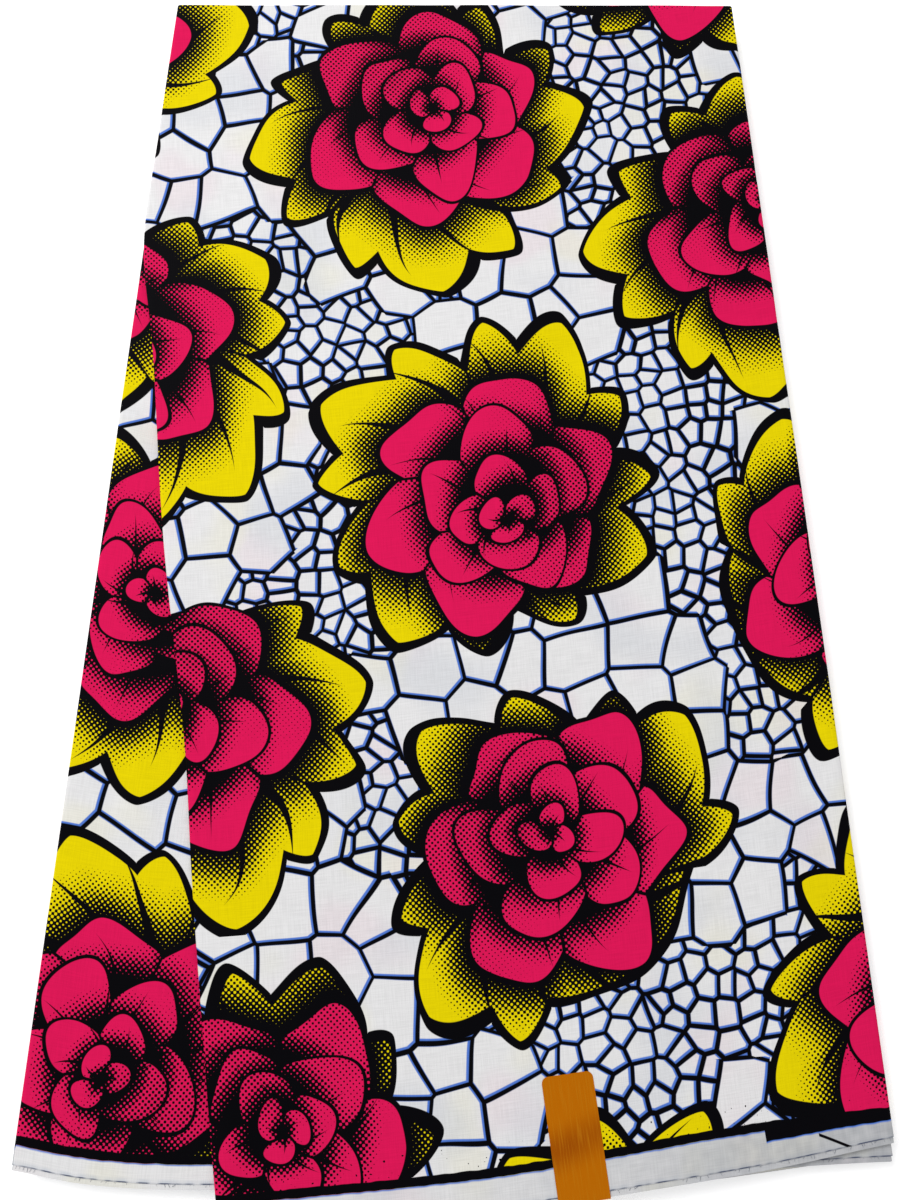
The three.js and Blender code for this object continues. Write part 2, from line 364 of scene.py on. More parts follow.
underCloth = {
    **topCloth,
    "level": pack["underLevel"],
    "lowerReach": 2.4,
    "grain": 0,
    "anchor": (0, 0),
    "marginExtra": [(0, 0), (400, 0)],
    "rows": 100,
    "columns": {"flap": 5, "bend": 8, "main": 64, "hairpin": 3},
}
underBack = [(0.5, 583.5), (298, 611.5)]
underPlan = sidesOf(underSelvedge, [underBack[0], underSelvedge[0]], *underBack, pack["frontRight"])
underPanel, underFront = doubledPanel("underPanel", underPlan, underCloth)
print("under panel", len(underPanel.data.polygons), "faces")

# The layers below run to and fro as one doubled cloth. Each fold has its height in the stack and
# how far it lies inside the pack at its side, its back and its front.
hiddenCloth = {
    "runs": 14,
    "halfGap": 0.15,
    "thickness": 0.21,
    "bendReach": 1.1,
    "meanWidth": 345.0,
    "depth": 584.0,
    "lowerReach": 1.2,
    "rows": 34,
    "runColumns": 12,
    "bendColumns": 6,
    "hairpinRows": 2,
    "groups": [  # from the bottom: top of the group, then its left, right, back and front insets
        (0.22, 4.0, 24.0, 5.0, 5.0),
        (0.42, 1.2, 13.0, 1.5, 2.0),
        (0.63, 3.2, 7.0, 4.0, 4.5),
        (0.82, 0.8, 3.2, 1.0, 1.2),
        (1.00, 2.4, 0.6, 2.6, 3.0),
    ],
    "jitter": 0.9,
    "seed": 7,
}
hiddenBack = [(1.5, 582.1), (296.6, 610.1)]


def hiddenStack(name, settings):
    plan = sidesOf(hiddenSelvedge, [hiddenBack[0], hiddenSelvedge[0]], *hiddenBack, hiddenSelvedge[-1])
    random = np.random.default_rng(settings["seed"])
    runs, pitch = settings["runs"], 1 / settings["runs"]
    nodes = []
    for k in range(runs + 1):
        height = min(max(1 - k * pitch, 0.001), 1)
        group = next(g for g in settings["groups"] if height <= g[0] + 1e-9)
        offsets = random.uniform(-1, 1, 4) * settings["jitter"] + settings["jitter"]
        nodes.append([g + o for g, o in zip(group[1:], offsets)])
    # Columns of the section, as the share across, height in the stack, lean and insets
    columns = []
    for k in range(runs):
        leftward = k % 2 == 0
        start, end = nodes[k], nodes[k + 1]
        level = 1 - (k + 0.5) * pitch
        for i in range(settings["runColumns"] + 1):
            share = i / settings["runColumns"]
            side = 1 - share if leftward else share
            mix = [a * (1 - share) + b * share for a, b in zip(start, end)]
            columns.append((side, 0.0, level, 0.0, 1.0 if leftward else -1.0, mix))
        if k + 1 < runs:
            for i in range(1, settings["bendColumns"]):
                angle = math.pi * i / settings["bendColumns"]
                way = -1 if leftward else 1
                side = 0.0 if leftward else 1.0
                columns.append((
                    side,
                    way * settings["bendReach"] * math.sin(angle),
                    level - pitch / 2 + pitch / 2 * math.cos(angle),
                    way * math.sin(angle),
                    math.cos(angle) * (1.0 if leftward else -1.0),
                    end,
                ))
    side, bulge, level, lean, up = (np.array([c[k] for c in columns]) for k in range(5))
    left, right, back, front = (np.array([c[5][k] for c in columns]) for k in range(4))
    lead, half = settings["bendReach"], settings["halfGap"]
    width, depth = settings["meanWidth"], settings["depth"]
    lowU, highU = (left + lead) / width, 1 - (right + lead) / width
    lowV, highV = back / depth, 1 - front / depth
    points, prints, edges = [], [], []

    def addRow(v, sign, reach, tilt=None):
        place = plan(lowU + (highU - lowU) * side, lowV + (highV - lowV) * np.full(side.shape, v))
        x = place[:, 0] + bulge
        y = place[:, 1] - reach * v ** pack["reachPower"]
        total = pack["hiddenHeight"] + swellAt(x, y)
        z = np.maximum(level * total, 0.0)
        cosine = sign if tilt is None else math.cos(tilt)
        x = x + lean * half * cosine
        z = z + up * half * cosine
        if tilt is not None:
            y = y + half * math.sin(tilt)
        points.append(toRow(x, y, z))
        run = np.concatenate([[0], np.cumsum(np.abs(np.diff(x)))])
        t = depth * (1 - v)
        prints.append(np.stack([run, np.full(run.shape, t if sign > 0 else 2 * depth - t)], -1) * mm)
        edges.append(np.stack([run, np.full(run.shape, t)], -1) * mm)

    rows = np.linspace(0, 1, settings["rows"] + 1)
    for v in rows[::-1]:
        addRow(v, 1, 0)
    for tilt in np.linspace(0, math.pi, settings["hairpinRows"] + 2)[1:-1]:
        addRow(0, 1, 0, tilt)
    for v in rows:
        addRow(v, -1, settings["lowerReach"])
    mesh = gridMesh(name, np.array(points), np.array(prints), np.array(edges))
    return finished(mesh, name, settings["thickness"])


hiddenLayers = hiddenStack("hiddenLayers", hiddenCloth)
print("hidden layers", len(hiddenLayers.data.polygons), "faces")

# The sticker lies over the top panel and turns down in front of its selvedge
stickerSizes = {
    "width": 23.5,
    "backMiddle": (244.8, 61.7),
    "turn": 12.4,
    "cornerRadius": 3.0,
    "thickness": 0.14,
    "lift": 0.16,
    "overEdge": 3.4,
    "bend": 1.0,
    "drop": 2.3,
    "ripple": 0.05,
    "rippleAcross": 3.1,
    "rippleAlong": 6.0,
    "columns": 16,
    "steps": {"corner": 8, "length": 25, "bend": 6},
    "sharpOver": 60,  # degrees
}


def stickerMesh(name, settings):
    angle = math.radians(settings["turn"])
    forward = np.array([math.sin(angle), -math.cos(angle)])
    rightward = np.array([math.cos(angle), math.sin(angle)])
    back = np.array(settings["backMiddle"])
    selvedge = alongCurve(topSelvedge)(np.linspace(0, 1, 400))
    offsets = selvedge - back
    near = np.argmin(np.abs(offsets @ rightward))
    edge = float(offsets[near] @ forward) + settings["overEdge"]
    surface = topCloth["level"] + pack["panelHeight"] / 2 + topCloth["bendDrop"]
    surface += topCloth["halfGap"] + topCloth["thickness"] / 2 + settings["lift"]
    radius, corner, steps = settings["bend"], settings["cornerRadius"], settings["steps"]
    stations = []  # how far ahead, how far down and how much narrower on each side
    for a in np.linspace(0, math.pi / 2, steps["corner"] + 1):
        stations.append((corner * (1 - math.cos(a)), 0.0, corner * (1 - math.sin(a))))
    for share in np.linspace(0, 1, steps["length"] + 1)[1:]:
        stations.append((corner + (edge - radius - corner) * share, 0.0, 0.0))
    for a in np.linspace(0, math.pi / 2, steps["bend"] + 1)[1:]:
        stations.append((edge - radius + radius * math.sin(a), -radius * (1 - math.cos(a)), 0.0))
    stations.append((edge, -radius - settings["drop"] / 2, 0.0))
    stations.append((edge, -radius - settings["drop"], 0.0))
    points, prints = [], []
    share = np.linspace(-1, 1, settings["columns"] + 1)
    run = 0
    for k, (ahead, fall, inset) in enumerate(stations):
        across = share * (settings["width"] / 2 - inset)
        place = back + forward * ahead + across[:, None] * rightward
        x, y = place[:, 0], place[:, 1]
        height = surface + swellAt(x, y) + creaseAt(x, y) + unevenAt(x, y)
        ripple = np.sin(across / settings["rippleAcross"]) * np.sin(ahead / settings["rippleAlong"] + 1)
        height = height + settings["ripple"] * ripple
        points.append(toRow(x, y, height + fall))
        if k:
            before = stations[k - 1]
            run += math.hypot(ahead - before[0], fall - before[1])
        prints.append(np.stack([across, np.full(across.shape, run)], -1) * mm)
    mesh = gridMesh(name, np.array(points), np.array(prints), np.array(prints))
    return finished(mesh, name, settings["thickness"], settings["sharpOver"])


sticker = stickerMesh("foilSticker", stickerSizes)
print("sticker", len(sticker.data.polygons), "faces")


def newNode(tree, kind, settings, inputs):
    made = tree.nodes.new(kind)
    for key, value in (settings or {}).items():
        setattr(made, key, value)
    for key, value in (inputs or {}).items():
        if isinstance(value, bpy.types.NodeSocket):
            tree.links.new(value, made.inputs[key])
        else:
            made.inputs[key].default_value = value
    return made


class Value:
    def __init__(self, graph, socket):
        self.graph, self.socket = graph, socket

    def maths(self, operation, *others):
        made = self.graph.node("Math", {"operation": operation}, dict(enumerate((self, *others))))
        return Value(self.graph, made.outputs[0])

    def __add__(self, other):
        return self.maths("ADD", other)

    __radd__ = __add__

    def __sub__(self, other):
        return self.maths("SUBTRACT", other)

    def __rsub__(self, other):
        return (self * -1) + other

    def __mul__(self, other):
        return self.maths("MULTIPLY", other)

    __rmul__ = __mul__

    def __truediv__(self, other):
        return self.maths("DIVIDE", other)

    def __pow__(self, other):
        return self.maths("POWER", other)

    def __abs__(self):
        return self.maths("ABSOLUTE")

    def floor(self):
        return self.maths("FLOOR")

    def fraction(self):
        return self.maths("FRACT")

    def least(self, other):
        return self.maths("MINIMUM", other)

    def most(self, other):
        return self.maths("MAXIMUM", other)

    def over(self, other):
        return self.maths("GREATER_THAN", other)

    def root(self):
        return self.maths("SQRT")

    def mixed(self, other, share):
        return self + (other - self) * share

    def spread(self, low, high, toLow=0.0, toHigh=1.0, smooth=False):
        kind = {"interpolation_type": "SMOOTHSTEP" if smooth else "LINEAR"}
        sizes = {"Value": self, "From Min": low, "From Max": high, "To Min": toLow, "To Max": toHigh}
        made = self.graph.node("MapRange", kind, sizes)
        return Value(self.graph, made.outputs[0])

    def covered(self, soft=0.12 * mm):
        # 1 where a length is positive and 0 where it is negative
        return self.spread(-soft, soft)


class Graph:
    def __init__(self, name):
        self.material = bpy.data.materials.new(name)
        self.material.use_nodes = True
        self.tree = self.material.node_tree
        self.tree.nodes.clear()

    def node(self, kind, settings=None, inputs=None):
        inputs = {key: value.socket if isinstance(value, Value) else value
                  for key, value in (inputs or {}).items()}
        return newNode(self.tree, "ShaderNode" + kind, settings, inputs)

    def value(self, made, output=0):
        return Value(self, made.outputs[output])

    def place(self, x, y, z=0.0):
        return self.node("CombineXYZ", {}, {0: x, 1: y, 2: z}).outputs[0]

    def apart(self, vector):
        made = self.node("SeparateXYZ", {}, {0: vector})
        return [self.value(made, k) for k in range(3)]

    def chance(self, x, y):
        return self.node("TexWhiteNoise", {"noise_dimensions": "2D"}, {"Vector": self.place(x, y)})

    def noise(self, at, scale, detail=0.0):
        inputs = {"Vector": at, "Scale": scale, "Detail": detail}
        return self.node("TexNoise", {"noise_dimensions": "2D"}, inputs)

    def tint(self, first, second, share):
        made = self.node("Mix", {"data_type": "RGBA"}, {0: share, 6: first, 7: second})
        return made.outputs[2]


# The print: a crackle net over the ground, and blooms with leaves in halftone. Sizes in mm, noise
# scales per metre.
printSizes = {
    "bloomSpacing": 191,
    "latticeTurn": -24,  # degrees
    "latticeStart": (38, 64),
    "centreJitter": 2.5,
    "handWander": 4,
    "netWander": 2.2,
    "wanderScale": 26.0,
    "dotPitch": 1.95,
    "netCell": 25.5,
    "netUneven": 0.74,
    "netSmall": 10.5,
    "netSmallUneven": 0.86,
    "netLine": 0.98,
    "netLineVary": 0.6,
    "netLineSoft": 0.18,
    "fringeShift": (0.50, -0.42),
    "fringeWider": 0.4,
    "fringeSoft": (-0.3, 0.1),
    "crowding": 0.50,  # noise above this crackles a large cell into small ones
    "crowdScale": 10.5,
}
inks = {
    "ground": (0.725, 0.72, 0.725, 1),
    "yellow": (0.735, 0.60, 0.0005, 1),
    "pink": (0.67, 0.0075, 0.086, 1),
    "black": (0.0012, 0.001, 0.002, 1),
    "blue": (0.045, 0.150, 0.58, 1),
    "pinkGhost": (0.73, 0.64, 0.675, 1),
    "yellowGhost": (0.73, 0.71, 0.58, 1),
    "greyGhost": (0.60, 0.615, 0.65, 1),
    # Blue-grey of the margin's edge: partly real dye stain, partly painted shade
    "stainAndShadeInk": (0.36, 0.42, 0.52, 1),
    # Painted shade: grey laid on the margin towards the panels' right ends
    "paintedShadeGrey": (0.36, 0.37, 0.39, 1),
    # Painted shadow: the dark line along the shadowed front edge
    "edgeShadowInk": (0.045, 0.060, 0.115, 1),
}
selvedgeSizes = {
    "margin": 8.4,
    "band": 3.9,
    "wideFrom": -58,  # from the right fold, where the band grows wider
    "wideBy": 4.6,
    "pastFold": 1.0,
    "fringe": 0.6,
    "wobble": 0.6,
    "tickAt": -26.2,
    "tickRise": 0.35,
    "tickHalf": 7.3,
    "tickLine": 0.7,
    "speckReach": 14,
    # How far the edge tint reaches: partly real stain, partly painted shade
    "stainAndShadeReach": 2.4,
    # Width of the painted shadow along the front edge
    "edgeShadowLine": 0.5,
    # Where painted shade starts to grey the margin
    "greyFrom": -200,  # on the top panel, from its right fold
    "greyUnderFrom": 240,  # on the under panel, from its left fold
    "greyUnderTo": 370,
}
selvedgeLook = {
    "wideShare": 0.33,  # of wideBy that is left at the fold
    "tickSlope": 0.486,
    "wobbleScale": 210.0,
    "speckScale": 620.0,
    "speckFrom": 0.84,
    # Strength of the edge tint: partly real stain, partly painted shade
    "stainAndShade": 0.5,
    # Strength of the painted shade on the margin
    "grey": 0.85,
}
ghosts = [  # what shows faintly through from the layer below: ink, noise from and to, most of it
    ("pinkGhost", 0.52, 0.72, 0.6),
    ("yellowGhost", 0.55, 0.72, 0.5),
    ("greyGhost", 0.45, 0.75, 0.6),
]
ghostScale = 21.0
weaveLook = {"across": 2100.0, "along": 90.0, "shade": (0.94, 1.04), "bump": 0.35, "height": 0.2}

# Each ring of the bloom from the outside in: how many, how far they reach and how they are shaded
leafRing = {"count": 4, "phase": 0.3, "swirl": 3.0, "base": 59, "tip": 31.5, "vary": 0.06, "bare": 0.10}
leafRing |= {"centre": (0, 0), "fade": 22, "lit": 0.08}
leafRing |= {"veins": 3.2, "veinLine": 2.3, "veinFrom": 50, "veinReach": 28, "veinBend": 11}
petalRings = [
    {"count": 6, "phase": 0.10, "swirl": 5, "base": 48.5, "tip": 16, "power": 1.7, "line": 1.0},
    {"count": 5, "phase": 0.45, "swirl": -6, "base": 31, "tip": 15, "power": 1.8, "line": 0.8},
    {"count": 4, "phase": 0.80, "swirl": 9, "base": 18, "tip": 12, "power": 2.0, "line": 0.75},
    {"count": 3, "phase": 0.30, "swirl": -22, "base": 7.5, "tip": 7, "power": 2.0, "line": 0.7},
]
petalRings[0] |= {"centre": (9, 4), "inner": 37, "fade": 14.5, "vary": 0.30, "side": 4, "ruffle": 1.5}
petalRings[1] |= {"centre": (12, 5.5), "inner": 23, "fade": 13, "vary": 0.28, "side": 3.5, "ruffle": 1.2}
petalRings[2] |= {"centre": (15, 6.5), "inner": 12, "fade": 10, "vary": 0.25, "side": 3, "ruffle": 0.8}
petalRings[3] |= {"centre": (17.5, 7.5), "inner": 2, "fade": 6, "vary": 0.25, "side": 2.5, "ruffle": 0.4}
drawing = {  # of every ring
    "middle": 0.3,
    "wave": 5.5,
    "seam": 0.7,
    "leafLineOut": 3.3,
    "leafLineIn": 0.8,
    "leafLineVary": 1.1,
    "litFrom": (0.8, -0.6),
    "shadeStart": 1.12,
    "sideShade": 0.6,
    "cheekFrom": 0.3,
    "cheekPower": 1.7,
    "leafShadeStart": 1.1,
    "dotSoft": 0.05,
}
leafForm = {  # a long point in the middle and a lobe on each side, in shares of half a leaf
    "pointHalf": 0.62,
    "pointPower": 1.35,
    "pointFall": (2.6, 0.35),
    "lobeAt": 0.64,
    "lobeHalf": 0.36,
    "lobeRise": 0.76,
    "lobePower": 1.4,
    "lobeFall": (2.95, 0.4),
}
for petals in petalRings:
    petals |= {"cheek": 0.85, "lit": 0.30, "veins": 1.4, "veinLine": 1.0, "veinBend": 9}
    petals |= {"veinFrom": petals["inner"], "veinReach": petals["fade"] * 1.15}


def crackleNet(graph, s, t, width):
    # Black lines and their blue fringe. Here and there the large cells are crackled into small ones,
    # and no large line runs between two such cells.
    large, small = printSizes["netCell"] * mm, printSizes["netSmall"] * mm

    def cells(size, at, feature):
        kind = {"voronoi_dimensions": "2D", "feature": feature}
        uneven = printSizes["netUneven" if size == large else "netSmallUneven"]
        return graph.node("TexVoronoi", kind, {"Vector": at, "Scale": 1 / size, "Randomness": uneven})

    def crowdedCell(feature):
        position = cells(large, graph.place(s, t), feature).outputs["Position"]
        return graph.value(graph.noise(position, printSizes["crowdScale"])).over(printSizes["crowding"])

    crowded, crowdedBeside = crowdedCell("F1"), crowdedCell("F2")

    def awayAt(x, y):
        at = graph.place(x, y)
        wide = graph.value(cells(large, at, "DISTANCE_TO_EDGE"), "Distance") * large
        fine = graph.value(cells(small, at, "DISTANCE_TO_EDGE"), "Distance") * small
        return (wide + crowded * crowdedBeside).least(fine + (1 - crowded))

    line = (width - awayAt(s, t)).covered(printSizes["netLineSoft"] * mm)
    shiftS, shiftT = (length * mm for length in printSizes["fringeShift"])
    fringe = width + printSizes["fringeWider"] * mm - awayAt(s + shiftS, t + shiftT)
    return line, fringe.spread(*(length * mm for length in printSizes["fringeSoft"]))


def bloomFrame(graph, s, t):
    # Where the point lies in the frame of the nearest bloom of a triangular lattice, and its seed
    angle = math.radians(printSizes["latticeTurn"])
    pitch = printSizes["bloomSpacing"] * mm
    startS, startT = (length * mm for length in printSizes["latticeStart"])
    across = ((s - startS) * math.cos(angle) + (t - startT) * math.sin(angle)) / pitch
    along = ((t - startT) * math.cos(angle) - (s - startS) * math.sin(angle)) / (pitch * math.sqrt(3))
    whole = [(value + 0.5).floor() for value in (across, along)]
    between = [value.floor() + 0.5 for value in (across, along)]
    places = []
    for column, row in (whole, between):
        x, y = (across - column) * pitch, (along - row) * (pitch * math.sqrt(3))
        places.append((x, y, x * x + y * y, column, row))
    nearer = places[0][2].over(places[1][2])
    x, y, _, column, row = (first.mixed(second, nearer) for first, second in zip(*places))
    chances = graph.apart(graph.chance(column, row).outputs["Color"])
    jitter = printSizes["centreJitter"] * 2 * mm
    x, y = x + (chances[1] - 0.5) * jitter, y + (chances[2] - 0.5) * jitter
    bearing = chances[0] * turn
    cosine, sine = bearing.maths("COSINE"), bearing.maths("SINE")
    flip = (chances[1] * 7).fraction().over(0.5) * 2 - 1
    seed = column * 3.7 + row * 11.3
    return x * cosine + y * sine, (y * cosine - x * sine) * flip, seed


def leafProfile(away):
    # How far the edge of a leaf reaches and how steeply it falls
    form = leafForm
    middle = 1 - (away * (1 / form["pointHalf"])) ** form["pointPower"]
    beside = abs(away - form["lobeAt"]) * (1 / form["lobeHalf"])
    lobe = form["lobeRise"] - (beside ** form["lobePower"]) * form["lobeRise"]
    (steep, power), (lobeSteep, lobePower) = form["pointFall"], form["lobeFall"]
    fall = ((beside ** lobePower) * lobeSteep).mixed((away ** power) * steep, middle.over(lobe))
    return middle.most(lobe), fall


def bloomRing(graph, spec, bx, by, seed, screen, above=None):
    # Petals or leaves side by side in a ring: what they cover, their outline and their ink.
    # The leaves are dark beside the petals above them.
    n = spec["count"]
    x, y = bx - spec["centre"][0] * mm, by - spec["centre"][1] * mm
    r = (x * x + y * y).root() + drawing["middle"] * mm
    place = y.maths("ARCTAN2", x) * (n / turn) + r * spec["swirl"] + spec["phase"] + n
    number = place.floor()
    local = (place - number) * 2 - 1
    own = number.maths("FLOORED_MODULO", n)
    chance = graph.value(graph.chance(own, seed))
    away = abs(local)
    tip = chance * (2 * spec["vary"] * spec["tip"] * mm) + spec["tip"] * (1 - spec["vary"]) * mm
    wave = (local * drawing["wave"] + chance * 9).maths("SINE")
    if "power" in spec:
        profile = 1 - away ** spec["power"]
        fall = (away ** (spec["power"] - 1)) * spec["power"]
        edge = tip * profile + spec["base"] * mm + wave * (spec["ruffle"] * mm)
    else:
        profile, fall = leafProfile(away)
        tip = tip * (chance * 13).fraction().over(spec["bare"])
        edge = tip * profile + spec["base"] * mm
    slope = tip * fall * (n / math.pi) / r
    inside = (edge - r) / (slope * slope + 1).root()
    covers = inside.covered()
    if "power" in spec:
        outline = (spec["line"] * mm - abs(inside)).covered()
    else:
        outer = inside + wave * (drawing["leafLineVary"] * mm) + drawing["leafLineOut"] * mm
        outline = outer.covered() * (drawing["leafLineIn"] * mm - inside).covered()
    side = (1 - away) * r * (math.pi / n)
    seam = (drawing["seam"] * mm - side).covered()
    litX, litY = drawing["litFrom"]
    lit = (x * litX + y * litY) / (spec["base"] * mm) * spec["lit"]
    if above is None:
        shade = (r - spec["inner"] * mm) / (-spec["fade"] * mm) + drawing["shadeStart"]
        shade = shade.most((1 - side / (spec["side"] * mm)) * drawing["sideShade"])
        cheek = local.spread(drawing["cheekFrom"], 1.0) ** drawing["cheekPower"]
        shade = shade.most(cheek * spec["cheek"])
    else:
        shade = above / (spec["fade"] * mm) + drawing["leafShadeStart"]
    dots = (shade + lit - screen).spread(-drawing["dotSoft"], drawing["dotSoft"])
    reach = (r - spec["veinFrom"] * mm) / (spec["veinReach"] * mm)
    veins = abs((local * (spec["veins"] / 2) + r * spec["veinBend"] + chance).fraction() - 0.5)
    veins = veins * r * (turn / n / spec["veins"])
    vein = ((1 - reach) * (spec["veinLine"] * mm) - veins).covered()
    return covers, outline, seam.most(dots).most(vein), inside


def clothMaterial():
    graph = Graph("printedCotton")
    printed = graph.node("UVMap", {"uv_map": "print"}).outputs[0]
    s, t, _ = graph.apart(printed)
    borderAt = graph.node("UVMap", {"uv_map": "selvedge"}).outputs[0]
    alongEdge, fromEdge, _ = graph.apart(borderAt)

    # A slow wander of the drawing, as of a hand
    wander = graph.noise(printed, printSizes["wanderScale"])
    wander = [channel - 0.5 for channel in graph.apart(wander.outputs["Color"])]
    hand, loose = printSizes["handWander"] * 2 * mm, printSizes["netWander"] * 2 * mm
    bx, by, seed = bloomFrame(graph, s + wander[0] * hand, t + wander[1] * hand)

    dot = printSizes["dotPitch"] * mm * math.sqrt(2)
    first = ((s + t) * (turn / dot)).maths("COSINE")
    second = ((s - t) * (turn / dot)).maths("COSINE")
    screen = (first + second) * 0.25 + 0.5

    rings = [
        bloomRing(graph, spec, bx, by, seed + 5.1 * (k + 1), screen)
        for k, spec in enumerate(petalRings)
    ]
    bloomCover, bloomInside = rings[0][0].most(rings[1][0]).most(rings[2][0]), rings[0][3]
    leafCover, leafLine, leafInk, _ = bloomRing(graph, leafRing, bx, by, seed, screen, bloomInside)

    width = wander[2] * (printSizes["netLineVary"] * mm) + printSizes["netLine"] * mm
    line, fringe = crackleNet(graph, s + wander[1] * loose, t + wander[2] * loose, width)
    ink = line.mixed(leafInk, leafCover).most(leafLine)
    for cover, outline, own, _ in rings:
        ink = ink.mixed(own, cover).most(outline)

    # The selvedge: a bare margin, a black band that is wider at one end, and a printer's tick
    border, look = {key: size * mm for key, size in selvedgeSizes.items()}, selvedgeLook
    margin = border["margin"]
    beforeFold = (border["pastFold"] - alongEdge).covered()
    wide = (alongEdge - border["wideFrom"]).covered() * beforeFold
    wide = wide * alongEdge.spread(border["wideFrom"], 0.0, 1.0, look["wideShare"])
    wide = wide * border["wideBy"]
    wobble = graph.value(graph.noise(borderAt, look["wobbleScale"]))
    edge = fromEdge + (wobble - 0.5) * border["wobble"]
    inMargin = (margin - edge).covered()
    banded = (edge - margin + wide).covered() * (margin + border["band"] - edge).covered()
    bandFringe = (edge - margin + wide + border["fringe"]).spread(-0.3 * mm, 0.4 * mm) * inMargin
    tickFrom = alongEdge - border["tickAt"]
    tick = abs(tickFrom * look["tickSlope"] + fromEdge - border["tickRise"])
    tick = (border["tickLine"] - tick).covered() * (border["tickHalf"] - abs(tickFrom)).covered()
    tick = tick * inMargin * (0.5 - t).covered()  # on the upper layer alone
    specks = graph.value(graph.noise(borderAt, look["speckScale"]))
    specks = specks.spread(look["speckFrom"], look["speckFrom"] + 0.02)
    specks = specks * (margin + border["speckReach"] - edge).covered() * (1 - inMargin)
    ink = (ink * (1 - inMargin)).most(banded).most(tick).most(specks)

    clouds = graph.apart(graph.noise(printed, ghostScale, 1.0).outputs["Color"])
    colour = inks["ground"]
    for channel, (ghost, low, high, most) in zip(clouds, ghosts):
        colour = graph.tint(colour, inks[ghost], channel.spread(low, high, 0.0, most, True))

    # The margin's edge gets a blue-grey tint, partly real dye stain and partly painted shade of the shadowed
    # edge; painted shade greys the margin towards one end, and a painted shadow darkens its very edge
    stainAndShade = t.spread(border["stainAndShadeReach"], 0.0, 0.0, look["stainAndShade"]) * wobble.spread(0.3, 0.7, 0.3, 1.3)
    # Painted shade: the margin darkens towards the top panel's right fold and the under panel's right end
    paintedShade = alongEdge.spread(border["greyFrom"], 0.0, 0.15, look["grey"]) * beforeFold
    paintedShadeUnder = alongEdge.spread(border["greyUnderFrom"], border["greyUnderTo"], 0.0, look["grey"])
    paintedShade = paintedShade.most(paintedShadeUnder)
    paintedShade = paintedShade * wobble.spread(0.2, 0.8, 0.8, 1.1)
    # Painted shadow: a dark line along the front edge of the upper layer
    edgeShadow = (border["edgeShadowLine"] - abs(t)).covered() * wobble.spread(0.35, 0.62, 0.15, 0.9)
    for kind, share in (("stainAndShadeInk", stainAndShade), ("paintedShadeGrey", paintedShade), ("edgeShadowInk", edgeShadow)):
        colour = graph.tint(colour, inks[kind], share * inMargin)

    covered = leafCover.most(bloomCover).most(inMargin)
    fringe = (fringe * (1 - covered)).most(bandFringe) * 0.95
    colour = graph.tint(colour, inks["blue"], fringe)
    colour = graph.tint(colour, inks["yellow"], leafCover * (1 - inMargin))
    colour = graph.tint(colour, inks["pink"], bloomCover * (1 - inMargin))
    colour = graph.tint(colour, inks["black"], ink)

    # Slubs of the plain weave, both ways
    close, slow = weaveLook["across"], weaveLook["along"]
    slubs = []
    for stretch in ((close, slow, 1.0), (slow, close, 1.0)):
        scaled = graph.node("VectorMath", {"operation": "MULTIPLY"}, {0: printed, 1: stretch})
        slubs.append(graph.value(graph.noise(scaled.outputs[0], 1.0)))
    weave = (slubs[0] + slubs[1]) * 0.5
    threads = {"Value": weave.spread(0.3, 0.7, *weaveLook["shade"]), "Color": colour}
    colour = graph.node("HueSaturation", {}, threads).outputs[0]
    raised = {"Strength": weaveLook["bump"], "Distance": weaveLook["height"] * mm, "Height": weave}
    bump = graph.node("Bump", {}, raised)
    shader = graph.node("BsdfPrincipled", {}, {
        "Base Color": colour,
        "Roughness": ink * -0.14 + 0.78,
        "Normal": bump.outputs[0],
        "Specular IOR Level": 0.035,
    })
    graph.node("OutputMaterial", {}, {"Surface": shader.outputs[0]})
    return graph.material


foilLook = {
    "gold": (0.54, 0.152, 0.0006, 1),
    "dark": (0.34, 0.070, 0.0006, 1),
    "streaked": (0.56, 0.20, 0.006, 1),
    "barAt": 29.5,  # from its back end, in mm
    "barHalf": 13,
    "barLean": 0.25,
    "cloudScale": 38.0,
    "streaks": (1500.0, 60.0, 1.0),
    "bump": 0.25,
    "height": 0.2,
}


def stickerMaterial():
    # A plain foil: satin, darker in one soft bar across, with faint streaks along it
    graph = Graph("goldFoil")
    mapped = graph.node("UVMap", {"uv_map": "print"}).outputs[0]
    across, along, _ = graph.apart(mapped)
    soft = graph.value(graph.noise(mapped, foilLook["cloudScale"], 1.0))
    fromBar = abs(along + across * foilLook["barLean"] - foilLook["barAt"] * mm)
    bar = (1 - fromBar / (foilLook["barHalf"] * mm)).spread(0.0, 1.0, 0.0, 1.0, True)
    colour = graph.tint(foilLook["gold"], foilLook["dark"], bar * soft.spread(0.2, 0.8, 0.6, 1.0))
    stretched = graph.node("VectorMath", {"operation": "MULTIPLY"}, {0: mapped, 1: foilLook["streaks"]})
    streak = graph.value(graph.noise(stretched.outputs[0], 1.0, 1.0))
    colour = graph.tint(colour, foilLook["streaked"], streak.spread(0.5, 0.8, 0.0, 0.6))
    raised = {"Strength": foilLook["bump"], "Distance": foilLook["height"] * mm}
    bump = graph.node("Bump", {}, {**raised, "Height": streak * 0.6 + soft * 3})
    shader = graph.node("BsdfPrincipled", {}, {
        "Base Color": colour,
        "Metallic": 0.5,
        "Roughness": soft.spread(0.3, 0.7, 0.36, 0.44),
        "Normal": bump.outputs[0],
        "Specular IOR Level": 0.05,
    })
    graph.node("OutputMaterial", {}, {"Surface": shader.outputs[0]})
    return graph.material


